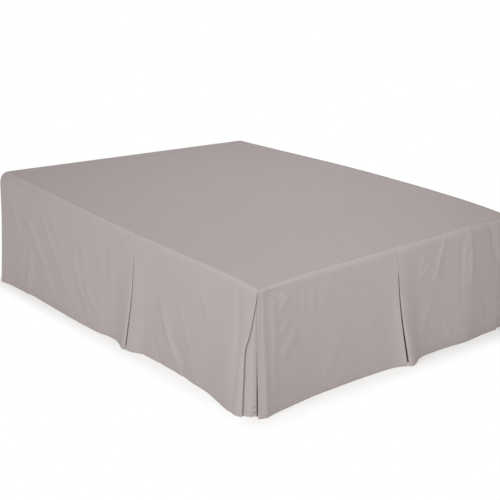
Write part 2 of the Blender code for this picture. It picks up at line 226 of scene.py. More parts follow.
def polycotton(name, dark, light, cockle):
    """Pressed polycotton: a close plain weave that looks smooth and matt, with faint slubs."""
    material = bpy.data.materials.new(name)
    material.use_nodes = True
    tree = material.node_tree
    shader = tree.nodes["Principled BSDF"]
    cut = add_node(tree, "ShaderNodeUVMap", {"uv_map": "cut"})
    # threads are 0.4 mm apart, drawn three times as coarse so that they can show
    thread = 0.0012
    wave_scale = 2 * math.pi / 20 / thread
    warp = add_node(tree, "ShaderNodeTexWave", {"bands_direction": "X"}, {
        "Vector": cut.outputs[0], "Scale": wave_scale, "Distortion": 0.8, "Detail": 1.0,
    })
    weft = add_node(tree, "ShaderNodeTexWave", {"bands_direction": "Y"}, {
        "Vector": cut.outputs[0], "Scale": wave_scale, "Distortion": 0.8, "Detail": 1.0,
    })
    over = add_node(tree, "ShaderNodeTexChecker", {}, {
        "Vector": cut.outputs[0], "Scale": 1 / thread,
    })
    weave = add_node(tree, "ShaderNodeMix", {"data_type": "FLOAT"}, {
        "Factor": over.outputs["Fac"], 2: warp.outputs["Fac"], 3: weft.outputs["Fac"],
    })
    # slubs are thicker threads, 15 to 40 mm long and about 2 mm apart
    along_warp = add_node(tree, "ShaderNodeMapping", {}, {
        "Vector": cut.outputs[0], "Scale": (480, 28, 1),
    })
    warp_slub = add_node(tree, "ShaderNodeTexNoise", {}, {"Vector": along_warp.outputs[0], "Scale": 1.0})
    along_weft = add_node(tree, "ShaderNodeMapping", {}, {
        "Vector": cut.outputs[0], "Scale": (28, 480, 1),
    })
    weft_slub = add_node(tree, "ShaderNodeTexNoise", {}, {"Vector": along_weft.outputs[0], "Scale": 1.0})
    slubs = add_node(tree, "ShaderNodeMath", {"operation": "ADD"}, {
        0: warp_slub.outputs["Fac"], 1: weft_slub.outputs["Fac"],
    })
    # dye takes a little unevenly, in clouds about 120 mm across
    cloud = add_node(tree, "ShaderNodeTexNoise", {}, {
        "Vector": cut.outputs[0], "Scale": 8.0, "Detail": 2.0,
    })
    tint = add_node(tree, "ShaderNodeMath", {"operation": "MULTIPLY_ADD"}, {
        0: slubs.outputs[0], 1: 0.5, 2: cloud.outputs["Fac"],
    })
    spread = add_node(tree, "ShaderNodeMath", {"operation": "SUBTRACT"}, {0: tint.outputs[0], 1: 0.5})
    tone = add_node(tree, "ShaderNodeMix", {"data_type": "RGBA"}, {
        "Factor": spread.outputs[0], 6: linear(dark), 7: linear(light),
    })
    ground = add_node(tree, "ShaderNodeMath", {"operation": "MULTIPLY_ADD"}, {
        0: slubs.outputs[0], 1: 0.6, 2: weave.outputs[0],
    })
    # the cloth cockles in faint ripples along its warp, 30 to 50 mm apart
    along_cockle = add_node(tree, "ShaderNodeMapping", {}, {"Vector": cut.outputs[0], "Scale": cockle})
    ripples = add_node(tree, "ShaderNodeTexNoise", {}, {
        "Vector": along_cockle.outputs[0], "Scale": 1.0, "Detail": 2.0,
    })
    swell = add_node(tree, "ShaderNodeBump", {}, {
        "Height": ripples.outputs["Fac"], "Strength": 1.0, "Distance": 0.0015,
    })
    bump = add_node(tree, "ShaderNodeBump", {}, {
        "Height": ground.outputs[0], "Strength": 0.35, "Distance": 0.00025, "Normal": swell.outputs[0],
    })
    tree.links.new(tone.outputs[2], shader.inputs["Base Color"])
    tree.links.new(bump.outputs[0], shader.inputs["Normal"])
    shader.inputs["Roughness"].default_value = 0.88
    shader.inputs["Sheen Weight"].default_value = 0.04
    shader.inputs["Sheen Roughness"].default_value = 0.5
    shader.inputs["Specular IOR Level"].default_value = 0.15
    return material


def sew_sheet(name, points, cut_places, cut_depths, material, node):
    """Make a sheet from rows of points, with its cut pattern as UV in metres and its thickness."""
    rows, columns = points.shape[:2]
    corner = (np.arange(rows - 1)[:, None] * columns + np.arange(columns - 1)[None, :]).ravel()
    faces = np.stack([corner + columns, corner + columns + 1, corner + 1, corner], axis=1)
    mesh = bpy.data.meshes.new(name)
    mesh.from_pydata(points.reshape(-1, 3).tolist(), [], faces.tolist())
    layer = mesh.uv_layers.new(name="cut")
    pattern = np.stack([cut_places.ravel(), cut_depths.ravel()], axis=1)
    layer.data.foreach_set("uv", pattern[faces.ravel()].astype(np.float32).ravel())
    mesh.materials.append(material)
    mesh.shade_smooth()
    sheet = bpy.data.objects.new(name, mesh)
    bpy.context.scene.collection.objects.link(sheet)
    thick = sheet.modifiers.new("Thickness", "SOLIDIFY")
    thick.thickness = CLOTH
    thick.offset = 0.0
    bpy.ops.object.select_all(action="DESELECT")
    sheet.select_set(True)
    bpy.context.view_layer.objects.active = sheet
    bpy.ops.object.modifier_apply(modifier="Thickness")
    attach(sheet, "root")
    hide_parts(node)
    return sheet


def platform_points():
    """Rows of the platform from the foot seam to the turned-down head edge."""
    head_line = HEAD_END - HEAD_ROLL
    steps = [(share, 0.0, 0.0) for share in crowded(0.0, 1.0, 150, 0.05)]
    steps += [(1.0, angle, 0.0) for angle in evenly(10, 90, 8)]
    steps += [(1.0, 90.0, drop) for drop in evenly(0.006, 0.050, 7)]
    points = np.zeros((len(steps), 121, 3))
    depths = np.zeros((len(steps), 121))
    for row, (share, angle, drop) in enumerate(steps):
        bend = math.radians(angle)
        for column, part in enumerate(crowded(0.0, 1.0, 120, 0.04)):
            x = mix(-SIDE_PLANE, SIDE_PLANE, part)
            y = mix(SEAM_GAP + foot_roll(x) - FOOT_PLANE, head_line, share) + HEAD_ROLL * math.sin(bend)
            left_line = SEAM_GAP + left_roll(-y) - SIDE_PLANE
            right_line = SIDE_PLANE - SEAM_GAP - right_roll(y)
            x = mix(left_line, right_line, part)
            points[row, column] = x, y, deck_level(x, y) - HEAD_ROLL * (1 - math.cos(bend)) - drop
            depths[row, column] = y + HEAD_ROLL * (bend - math.sin(bend)) + drop
    return points, depths


# faint folds left from packing and from smoothing the cloth by hand: height, half width, line
platform_creases = (
    (0.0010, 0.070, ((-0.60, -0.55), (-0.10, -0.30), (0.45, -0.35))),
    (-0.0012, 0.080, ((-0.45, -0.05), (0.10, 0.10), (0.60, -0.02))),
    (0.0012, 0.060, ((-0.62, 0.30), (-0.20, 0.42), (0.30, 0.36))),
    (-0.0010, 0.050, ((-0.50, 0.62), (0.00, 0.55), (0.55, 0.66))),
    (0.0008, 0.030, ((-0.30, 0.78), (0.05, 0.70), (0.40, 0.74))),
    (0.0010, 0.060, ((0.20, -0.80), (0.45, -0.50), (0.55, -0.10))),
)
deck_cloth = polycotton("taupe_polycotton_flat", "#A09795", "#A49B99", (6, 11, 1))
platform_grid, platform_depths = platform_points()
platform_grid[:, :, 2] += relief(platform_creases, platform_grid[:, :, 0], platform_grid[:, :, 1])
platform = sew_sheet(
    "platform_cloth", platform_grid, platform_grid[:, :, 0], platform_depths, deck_cloth,
    "platform",
)


# The mattress and the divan base: a sprung mattress in plain ticking, its border quilted with
# two lines of stitching between corded edges, on a timber base pulled over with upholstery
# cloth and corded round its top.  The mattress lies loose on the base.
def woven_cover(name, warp, weft, thread, depth, roughness):
    """A plain woven cover read on object coordinates: threads cross in the three main planes."""
    material = bpy.data.materials.new(name)
    material.use_nodes = True
    tree = material.node_tree
    shader = tree.nodes["Principled BSDF"]
    place = add_node(tree, "ShaderNodeTexCoord")
    wave_scale = 2 * math.pi / 20 / thread
    across = add_node(tree, "ShaderNodeTexWave", {"bands_direction": "DIAGONAL"}, {
        "Vector": place.outputs["Object"], "Scale": wave_scale, "Distortion": 0.6, "Detail": 1.0,
    })
    upward = add_node(tree, "ShaderNodeTexWave", {"bands_direction": "Z"}, {
        "Vector": place.outputs["Object"], "Scale": wave_scale, "Distortion": 0.6, "Detail": 1.0,
    })
    cross = add_node(tree, "ShaderNodeMath", {"operation": "MULTIPLY"}, {
        0: across.outputs["Fac"], 1: upward.outputs["Fac"],
    })
    cloud = add_node(tree, "ShaderNodeTexNoise", {}, {
        "Vector": place.outputs["Object"], "Scale": 9.0, "Detail": 3.0,
    })
    blend = add_node(tree, "ShaderNodeMath", {"operation": "MULTIPLY_ADD"}, {
        0: cloud.outputs["Fac"], 1: 0.5, 2: cross.outputs[0],
    })
    tone = add_node(tree, "ShaderNodeMix", {"data_type": "RGBA"}, {
        "Factor": blend.outputs[0], 6: linear(warp), 7: linear(weft),
    })
    bump = add_node(tree, "ShaderNodeBump", {}, {
        "Height": cross.outputs[0], "Strength": 0.5, "Distance": depth,
    })
    tree.links.new(tone.outputs[2], shader.inputs["Base Color"])
    tree.links.new(bump.outputs[0], shader.inputs["Normal"])
    shader.inputs["Roughness"].default_value = roughness
    shader.inputs["Sheen Weight"].default_value = 0.15
    return material


def ring_points(half_width, foot_end, head_end, corner, inset):
    """Points round a block's outline with its rounded corners, drawn in by an inset."""
    points = []
    radius = corner - inset
    quarters = (
        (half_width, head_end, 0), (-half_width, head_end, 90),
        (-half_width, foot_end, 180), (half_width, foot_end, 270),
    )
    for x, y, first_angle in quarters:
        middle_x = x - math.copysign(corner, x)
        middle_y = y - math.copysign(corner, y)
        for angle in evenly(first_angle, first_angle + 90, 10):
            bend = math.radians(angle)
            points.append((middle_x + radius * math.cos(bend), middle_y + radius * math.sin(bend)))
    outline = []
    for (x_from, y_from), (x_to, y_to) in zip(points, points[1:] + points[:1]):
        # the straight sides have a point every 30 mm
        count = max(round(math.hypot(x_to - x_from, y_to - y_from) / 0.030), 1)
        for index in range(count):
            share = index / count
            outline.append((mix(x_from, x_to, share), mix(y_from, y_to, share)))
    return outline


def upholster(name, outline, profile, rise, material, node):
    """Make a covered block from rings: each row of the profile is an inset and a height."""
    rings = [
        [(x, y, height + rise(x, y, height)) for x, y in ring_points(*outline, inset)]
        for inset, height in profile
    ]
    last_inset, top = profile[-1]
    middle_y = (outline[1] + outline[2]) / 2
    for share in evenly(0.05, 0.95, 18):
        ring = []
        for x, y in ring_points(*outline, last_inset):
            x = mix(x, 0.0, share)
            y = mix(y, middle_y, share)
            ring.append((x, y, top + rise(x, y, top)))
        rings.append(ring)
    count = len(rings[0])
    faces = []
    for level in range(len(rings) - 1):
        for place in range(count):
            after = (place + 1) % count
            faces.append((
                level * count + place, level * count + after,
                (level + 1) * count + after, (level + 1) * count + place,
            ))
    faces.append(tuple(reversed(range(count))))
    faces.append(tuple((len(rings) - 1) * count + place for place in range(count)))
    mesh = bpy.data.meshes.new(name)
    mesh.from_pydata([point for ring in rings for point in ring], [], faces)
    mesh.materials.append(material)
    mesh.shade_smooth()
    block = bpy.data.objects.new(name, mesh)
    bpy.context.scene.collection.objects.link(block)
    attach(block, "root")
    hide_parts(node)
    return block


def cord(height):
    """Profile of a sewn-in cord 8 mm thick that stands 4 mm proud of the border."""
    turns = [math.radians(angle) for angle in evenly(-90, 90, 8)]
    return [(0.004 * (1 - math.cos(turn)), height + 0.004 * math.sin(turn)) for turn in turns]


def quilted(low, high, stitches, pull):
    """Profile of a padded border between two heights, drawn in at each line of stitching."""
    rows = []
    for height in evenly(low, high, 48):
        nearest = min([abs(height - stitch) for stitch in (low, *stitches, high)])
        rows.append((0.0045 + pull * math.exp(-nearest / 0.007), height))
    return rows


# threads of the base's cover are 1.6 mm, drawn twice as coarse so that they show
base_cover = woven_cover("base_upholstery", "#B4AEA5", "#CFC9C0", 0.0032, 0.0006, 0.9)
base_profile = [(0.024, 0.0455), (0.008, 0.0458), (0.003, 0.0480), (0.0005, 0.0560)]
# the cover is pulled tight and lies in a little between its edges
base_profile += [
    (0.0005 + 0.0035 * math.sin(math.pi * share), mix(0.0560, 0.2840, share))
    for share in evenly(0.05, 0.95, 14)
]
base_profile += cord(0.2885)
base_profile += [(0.006, 0.2950), (0.012, 0.2970), (0.024, 0.2972)]
upholster(
    "base_cover_cloth", (0.747, -0.960, 0.999, 0.030), base_profile, lambda x, y, height: 0.0,
    base_cover, "bed_base",
)

# threads of the ticking are 0.8 mm, drawn three times as coarse so that they show
ticking = woven_cover("mattress_ticking", "#D2CFC8", "#E9E6E0", 0.0024, 0.0004, 0.8)
mattress_profile = [(0.040, 0.2990), (0.012, 0.2992), (0.005, 0.3010)]
mattress_profile += cord(0.3075)
mattress_profile += quilted(0.3120, 0.4840, (0.3690, 0.4270), 0.0035)
mattress_profile += cord(0.4885)
mattress_profile += [
    (0.036 * (1 - math.cos(turn)) + 0.001, 0.4945 + 0.036 * math.sin(turn))
    for turn in (math.radians(angle) for angle in evenly(15, 85, 7))
]


def mattress_rise(x, y, height):
    """How far the mattress follows the uneven deck at a height."""
    share = (height - 0.2983) / 0.2340
    return (deck_level(x, y) - 0.3 * corner_droop(x, y) - DECK_HEIGHT + CLOTH / 2) * share


upholster(
    "mattress_cover_cloth", (0.759, -0.972, 1.011, 0.048), mattress_profile, mattress_rise,
    ticking, "mattress",
)


# The left drop: one long panel hemmed below and sewn to the platform's edge, with an inverted
# pleat folded in near the middle and its foot end turned in behind the open corner.
LAYER_AT_TOP = 0.0022
LAYER_AT_HEM = 0.0056
PLEAT_DEPTH = 0.075
HEM_DEPTH = 0.022
DROP_LENGTH = 0.5
# share of the fall, then share of the hem's flare and distance between the pleat's edge lines
flare_growth = curve_through(((0.0, 0.0), (0.3, 0.16), (0.6, 0.46), (1.0, 1.0)))
flap_gap = curve_through(((0.0, 0.0042), (0.10, 0.0045), (0.22, 0.0085), (1.0, 0.0120)))


class Side:
    """One side of the bed with the drop that hangs there, measured along and outwards."""

    def __init__(self, along, outward, plane, roll, hem, start, pleat, end, flaps, creases):
        self.along = along
        self.outward = outward
        self.plane = plane
        self.roll = roll
        self.hem = curve_through(hem)
        self.start = curve_through(start)
        self.pleat = curve_through(pleat)
        self.end = curve_through(end)
        self.flaps = curve_through(flaps)
        self.creases = creases

    def flare(self, place, fall):
        """How far the cloth stands out of its plane at a place and a share of the fall."""
        at_hem = place
        for line in (self.start, self.pleat, self.end):
            away = (place - line(fall)) / 0.22
            at_hem += (line(1.0) - line(fall)) * math.exp(-away * away)
        return self.hem(at_hem) * flare_growth(fall)

    def plan(self, place, out):
        """The x and y of a place along the side and a distance out from the middle."""
        x = self.along[0] * place + self.outward[0] * out
        y = self.along[1] * place + self.outward[1] * out
        return x, y


def fold(place, direction, layer_from, layer_to, fall):
    """Points round a fold: the cloth turns back at a place from one layer to the next."""
    radius = mix(LAYER_AT_TOP, LAYER_AT_HEM, fall) / 2
    middle = (layer_from + layer_to) / 2
    turn = layer_from - middle
    points = []
    for angle in (60, 30, 0, -30, -60):
        bend = math.radians(angle)
        around = place + direction * radius * math.cos(bend)
        points.append((around, middle + turn * math.sin(bend), place))
    return points


def run(places, layer):
    """Points of a flat run in one layer."""
    return [(place, layer, place) for place in places]


def drop_section(side, angle, fall, folded_start, folded_end):
    """One level of a drop from its start to its end: place, layer, and place of its flare."""
    start = side.start(fall)
    end = side.end(fall)
    if folded_start:
        start += side.roll(start) * (1 - math.sin(math.radians(angle)))
    if folded_end:
        end -= side.roll(end) * (1 - math.sin(math.radians(angle)))
    pleat = side.pleat(fall)
    half_gap = flap_gap(fall) / 2
    left_edge = pleat - half_gap
    right_edge = pleat + half_gap
    left_depth = pleat - PLEAT_DEPTH
    right_depth = pleat + PLEAT_DEPTH
    # the columns beside an end at the head lie close, to follow its rounded corner
    head_columns = (0.0, 0.002, 0.004, 0.007, 0.011, 0.015, 0.020, 0.026, 0.034)
    panel_start = start + (PLEAT_DEPTH if folded_start else head_columns[-1])
    panel_end = end - (PLEAT_DEPTH if folded_end else head_columns[-1])
    flap_steps = 13
    panel_step = 0.009
    before_steps = round((side.pleat(0) - side.start(0)) / panel_step)
    after_steps = round((side.end(0) - side.pleat(0)) / panel_step)

    section = []
    if folded_start:
        section += run(crowded(panel_start, start, flap_steps), -1)
        section += fold(start, -1, -1, 0, fall)
        section += run(crowded(start, panel_start, flap_steps)[:-1], 0)
    else:
        section += run([start + distance for distance in head_columns[:-1]], 0)
    section += run(evenly(panel_start, left_depth, before_steps)[:-1], 0)
    section += run(crowded(left_depth, left_edge, flap_steps), 0)
    section += fold(left_edge, 1, 0, -1, fall)
    section += run(crowded(left_edge, left_depth, flap_steps), -1)
    section += fold(left_depth, -1, -1, -2, fall)
    underlay = len(section)
    section += run(evenly(left_depth, right_depth, 16), -2)
    underlay_end = len(section)
    section += fold(right_depth, 1, -2, -1, fall)
    section += run(crowded(right_depth, right_edge, flap_steps), -1)
    section += fold(right_edge, -1, -1, 0, fall)
    section += run(crowded(right_edge, right_depth, flap_steps), 0)
    section += run(evenly(right_depth, panel_end, after_steps)[1:], 0)
    if not folded_end:
        section += run([end - distance for distance in reversed(head_columns[:-1])], 0)
    if folded_end:
        section += run(crowded(panel_end, end, flap_steps)[1:], 0)
        section += fold(end, 1, 0, -1, fall)
        section += run(crowded(end, panel_end, flap_steps), -1)

    left_flare = side.flare(left_depth, fall)
    right_flare = side.flare(right_depth, fall)
    level = []
    for index, (place, layer, flare_place) in enumerate(section):
        if underlay <= index < underlay_end:
            share = (place - left_depth) / (right_depth - left_depth)
            flare = mix(left_flare, right_flare, share)
        else:
            flare = side.flare(flare_place, fall)
        level.append((place, layer, flare))
    return level


def hang_drop(name, side, folded_start, folded_end, material, node):
    """Hang a drop from its seam over the mattress edge down to its hem."""
    stitch = 1 - HEM_DEPTH / DROP_LENGTH
    levels = [(angle, 0.0) for angle in evenly(0, 90, 9)]
    levels += [(90, fall) for fall in evenly(0.016, stitch - 0.010, 56)]
    levels += [(90, fall) for fall in (stitch - 0.004, stitch, stitch + 0.004, stitch + 0.010)]
    levels += [(90, fall) for fall in evenly(stitch + 0.020, 1.0, 3)]
    sections = [drop_section(side, angle, fall, folded_start, folded_end) for angle, fall in levels]
    places = np.array([[point[0] for point in section] for section in sections])
    layers = np.array([[point[1] for point in section] for section in sections])
    flares = np.array([[point[2] for point in section] for section in sections])
    angles = np.radians([level[0] for level in levels])[:, None] + places * 0
    falls = np.array([level[1] for level in levels])[:, None] + places * 0
    radii = np.vectorize(side.roll)(places)
    lifts = layers * (LAYER_AT_TOP + (LAYER_AT_HEM - LAYER_AT_TOP) * falls)
    xs, ys = side.plan(places, side.plane - radii)
    seams = np.vectorize(seam_level)(xs, ys)
    depths = falls * DROP_LENGTH - radii * (np.pi / 2 - angles)

    # a crease stands 3.4 times and spreads 1.35 times what its row in the table gives
    stand = relief(side.creases, places, depths, 3.4, 1.35)
    # the layers folded under the flaps push them out beside the slit, less so near the hem
    from_slit = places - np.vectorize(side.pleat)(falls)
    stand += np.vectorize(side.flaps)(from_slit) * np.minimum(falls / 0.12, 1) * (1 - 0.55 * falls)
    # the stitching draws the outer layer in, and the hem below it is doubled
    stitch_depth = stitch * DROP_LENGTH
    stand -= 0.0005 * np.exp(-((depths - stitch_depth) / 0.0022) ** 2) * (layers > -0.5)
    stand += 0.0004 * (depths > stitch_depth)
    reach = radii + lifts + stand
    outs = side.plane - radii + reach * np.sin(angles) + flares
    tops = seams - radii + reach * np.cos(angles)
    heights = tops + (HEM_CLEARANCE - tops) * falls
    xs, ys = side.plan(places, outs)
    points = np.stack([xs, ys, heights], axis=2)

    middle = points[len(levels) // 2]
    widths = np.linalg.norm(np.diff(middle, axis=0), axis=1)
    cut_places = np.concatenate([[0.0], np.cumsum(widths)])[None, :] + places * 0
    sheet = sew_sheet(name, points, cut_places, -depths, material, node)
    return sheet


# height, half width, and the line as (place along the side, metres below the rolled edge)
left_creases = (
    (0.0022, 0.013, ((-0.975, 0.00), (-0.915, 0.08), (-0.865, 0.17), (-0.830, 0.26))),
    (0.0026, 0.014, (
        (-0.900, 0.03), (-0.835, 0.10), (-0.735, 0.165), (-0.665, 0.235), (-0.612, 0.31),
        (-0.545, 0.405), (-0.505, 0.46),
    )),
    (0.0024, 0.015, ((-0.728, 0.26), (-0.745, 0.385), (-0.790, 0.53))),
    (0.0018, 0.050, ((-0.800, 0.24), (-0.820, 0.385), (-0.850, 0.55))),
    (0.0020, 0.012, ((-0.640, 0.06), (-0.565, 0.16), (-0.510, 0.23), (-0.450, 0.31))),
    (0.0013, 0.010, ((-0.560, 0.03), (-0.500, 0.13), (-0.440, 0.21))),
    (0.0015, 0.011, ((-0.480, 0.25), (-0.425, 0.34), (-0.365, 0.42))),
    (0.0018, 0.012, ((-0.345, 0.18), (-0.310, 0.27), (-0.255, 0.37))),
    (0.0017, 0.011, ((-0.270, 0.26), (-0.190, 0.36), (-0.110, 0.42))),
    (-0.0013, 0.014, ((-0.345, 0.34), (-0.280, 0.41), (-0.200, 0.50))),
    (0.0010, 0.010, ((-0.300, 0.06), (-0.262, 0.17), (-0.215, 0.28))),
    (0.0007, 0.016, ((-0.210, -0.01), (-0.120, 0.14), (-0.060, 0.32))),
    (0.0013, 0.018, ((-0.030, 0.03), (-0.033, 0.25), (-0.045, 0.62))),
    (0.0005, 0.010, ((0.256, 0.02), (0.253, 0.13), (0.236, 0.34))),
    (0.0021, 0.015, ((0.340, 0.16), (0.362, 0.26), (0.405, 0.37), (0.490, 0.52))),
    (-0.0011, 0.015, ((0.400, 0.33), (0.450, 0.39), (0.565, 0.48))),
    (0.0012, 0.012, ((0.470, 0.18), (0.520, 0.29), (0.585, 0.42))),
    (-0.0009, 0.014, ((0.265, 0.37), (0.300, 0.42), (0.345, 0.53))),
    (0.0008, 0.010, ((0.600, 0.04), (0.640, 0.12), (0.690, 0.22))),
    (-0.0012, 0.012, ((0.868, -0.01), (0.880, 0.21), (0.888, 0.40), (0.892, 0.60))),
    (-0.0008, 0.007, ((0.880, 0.11), (0.890, 0.13), (0.905, 0.17))),
)
left = Side(
    (0, -1), (-1, 0), SIDE_PLANE, left_roll,
    hem=(
        (-1.010, 0.036), (-0.930, 0.021), (-0.760, 0.012), (-0.520, 0.017), (-0.290, 0.021),
        (-0.130, 0.017), (-0.042, 0.000), (0.030, 0.009), (0.072, 0.026), (0.100, 0.036),
        (0.113, 0.029), (0.142, 0.027), (0.173, 0.014), (0.206, -0.003), (0.478, -0.003),
        (0.578, 0.008), (0.678, 0.014), (0.778, 0.034), (0.868, 0.053), (0.918, 0.057),
        (0.945, 0.047), (0.985, 0.016),
    ),
    start=((0.0, -1.0241), (1.0, -1.006)),
    pleat=((0.0, 0.163), (0.4, 0.152), (1.0, 0.113)),
    end=((0.0, 0.978), (0.15, 0.963), (0.36, 0.941), (0.505, 0.9225), (0.60, 0.925), (1.0, 0.943)),
    flaps=(
        (-0.118, 0.0), (-0.048, 0.0042), (-0.003, 0.0024), (0.003, 0.0042), (0.084, 0.0006),
        (0.100, 0.0),
    ),
    creases=left_creases,
)
# the drops' cloth is the platform's painted a shade lighter: painted light for the brighter look the
# hung cloth has under the lamps
painted_lighter_drop_cloth = polycotton("taupe_polycotton_hung_painted_lighter", "#A59C9A", "#A9A09E", (24, 4, 1))
hang_drop("left_drop_cloth", left, False, True, painted_lighter_drop_cloth, "drop_left")


# The foot drop: the same cloth and pleat across the foot of the bed, both of its ends turned
# in behind the open corners, its left end standing straight and its right end leaning in.
foot_creases = (
    (0.0014, 0.006, ((-0.752, -0.01), (-0.746, 0.25), (-0.741, 0.60))),
    (0.0011, 0.011, ((-0.699, 0.00), (-0.695, 0.18), (-0.692, 0.44))),
    (-0.0024, 0.010, ((-0.740, -0.004), (-0.700, 0.010), (-0.652, 0.024))),
    (0.0011, 0.011, ((-0.685, 0.11), (-0.645, 0.07), (-0.600, 0.03))),
    (0.0011, 0.013, ((-0.700, 0.20), (-0.655, 0.175), (-0.610, 0.15))),
    (0.0015, 0.017, ((-0.665, 0.30), (-0.620, 0.24), (-0.575, 0.19))),
    (0.0005, 0.010, ((-0.588, 0.00), (-0.588, 0.14))),
    (0.0005, 0.010, ((-0.541, 0.02), (-0.545, 0.15))),
    (0.0005, 0.010, ((-0.484, 0.02), (-0.492, 0.16))),
    (0.0005, 0.014, ((-0.395, 0.00), (-0.420, 0.08), (-0.445, 0.15))),
    (0.0008, 0.020, ((-0.320, 0.25), (-0.375, 0.36), (-0.425, 0.48))),
    (0.0006, 0.013, ((-0.115, 0.21), (-0.150, 0.25), (-0.190, 0.30))),
    (0.0013, 0.010, ((0.272, -0.04), (0.257, 0.026), (0.234, 0.084), (0.214, 0.170))),
    (0.0010, 0.010, ((0.186, 0.05), (0.155, 0.104), (0.112, 0.140))),
    (0.0007, 0.010, ((0.160, 0.02), (0.111, 0.108))),
    (0.0008, 0.008, ((0.252, 0.080), (0.221, 0.165))),
    (-0.0009, 0.011, ((0.368, 0.00), (0.382, 0.147), (0.398, 0.320))),
    (0.0010, 0.008, ((0.412, 0.010), (0.397, 0.095))),
    (0.0017, 0.011, ((0.426, -0.05), (0.440, 0.089), (0.454, 0.230))),
    (0.0011, 0.017, ((0.222, 0.200), (0.184, 0.287), (0.150, 0.400))),
    (-0.0015, 0.013, ((0.565, -0.05), (0.597, 0.079), (0.632, 0.170))),
    (0.0032, 0.070, ((0.415, -0.06), (0.422, 0.25), (0.430, 0.64))),
    (0.0008, 0.012, ((0.500, 0.30), (0.540, 0.36), (0.570, 0.44))),
    (0.0008, 0.012, ((0.300, 0.36), (0.330, 0.42), (0.350, 0.50))),
)
foot = Side(
    (1, 0), (0, -1), FOOT_PLANE, foot_roll,
    hem=(
        (-0.775, 0.019), (-0.745, 0.027), (-0.700, 0.019), (-0.590, 0.007), (-0.440, -0.005),
        (-0.240, -0.007), (-0.060, -0.002), (-0.005, 0.004), (0.040, 0.025), (0.062, 0.039),
        (0.092, 0.030), (0.120, 0.013), (0.156, -0.002), (0.220, -0.007), (0.360, -0.007),
        (0.470, -0.003), (0.590, -0.006), (0.700, -0.004), (0.772, 0.012),
    ),
    start=((0.0, -0.7735), (1.0, -0.775)),
    pleat=((0.0, -0.026), (0.4, -0.004), (1.0, 0.047)),
    end=((0.0, 0.7735), (0.12, 0.745), (0.30, 0.662), (0.42, 0.640), (1.0, 0.664)),
    flaps=(
        (-0.092, 0.0), (-0.086, 0.0005), (-0.045, 0.0023), (-0.003, 0.0042), (0.003, 0.0024),
        (0.040, 0.0042), (0.115, 0.0),
    ),
    creases=foot_creases,
)
hang_drop("foot_drop_cloth", foot, True, True, painted_lighter_drop_cloth, "drop_foot")


# The right drop: the left one's pair on the far side of the bed, hanging in looser folds from
# its own seam, with the same pleat and hem.
right_creases = (
    (-0.0012, 0.014, ((-0.890, -0.01), (-0.880, 0.25), (-0.870, 0.60))),
    (0.0014, 0.018, ((-0.760, 0.05), (-0.700, 0.20), (-0.660, 0.38))),
    (0.0010, 0.016, ((-0.560, 0.16), (-0.500, 0.28), (-0.470, 0.42))),
    (-0.0010, 0.020, ((-0.420, 0.30), (-0.350, 0.42), (-0.310, 0.55))),
    (0.0018, 0.024, ((-0.200, -0.02), (-0.190, 0.25), (-0.180, 0.60))),
    (0.0014, 0.014, ((-0.030, -0.02), (-0.020, 0.15), (-0.005, 0.36))),
    (0.0014, 0.020, ((0.120, 0.20), (0.170, 0.32), (0.250, 0.50))),
    (0.0010, 0.015, ((0.330, 0.05), (0.380, 0.18), (0.400, 0.32))),
    (-0.0010, 0.020, ((0.460, 0.28), (0.540, 0.42), (0.580, 0.55))),
    (0.0014, 0.018, ((0.640, 0.02), (0.700, 0.16), (0.790, 0.34), (0.840, 0.46))),
    (0.0012, 0.016, ((0.900, -0.02), (0.930, 0.12), (0.950, 0.28))),
)
right = Side(
    (0, 1), (1, 0), SIDE_PLANE, right_roll,
    hem=(
        (-0.985, 0.015), (-0.940, 0.044), (-0.905, 0.0566), (-0.850, 0.049), (-0.750, 0.026),
        (-0.610, 0.010), (-0.400, 0.002), (-0.215, 0.001), (-0.155, 0.018), (-0.112, 0.031),
        (-0.075, 0.033), (-0.015, 0.006), (0.120, 0.012), (0.310, 0.019), (0.560, 0.014),
        (0.810, 0.012), (0.940, 0.023), (1.012, 0.035),
    ),
    start=((0.0, -0.978), (0.2, -0.972), (0.5, -0.956), (1.0, -0.941)),
    pleat=((0.0, -0.118), (0.5, -0.108), (1.0, -0.098)),
    end=((0.0, 1.0241), (1.0, 1.008)),
    flaps=(
        (-0.100, 0.0), (-0.084, 0.0006), (-0.003, 0.0042), (0.003, 0.0024), (0.048, 0.0042),
        (0.118, 0.0),
    ),
    creases=right_creases,
)
hang_drop("right_drop_cloth", right, True, False, painted_lighter_drop_cloth, "drop_right")


# The corner inserts: two short strips of the same cloth, bent round the foot corners behind
# the ends of the drops and sewn in with them, so that the open slits show cloth.
def smooth_step(share):
    """Rise smoothly from 0 to 1."""
    share = min(max(share, 0.0), 1.0)
    return share * share * (3 - 2 * share)


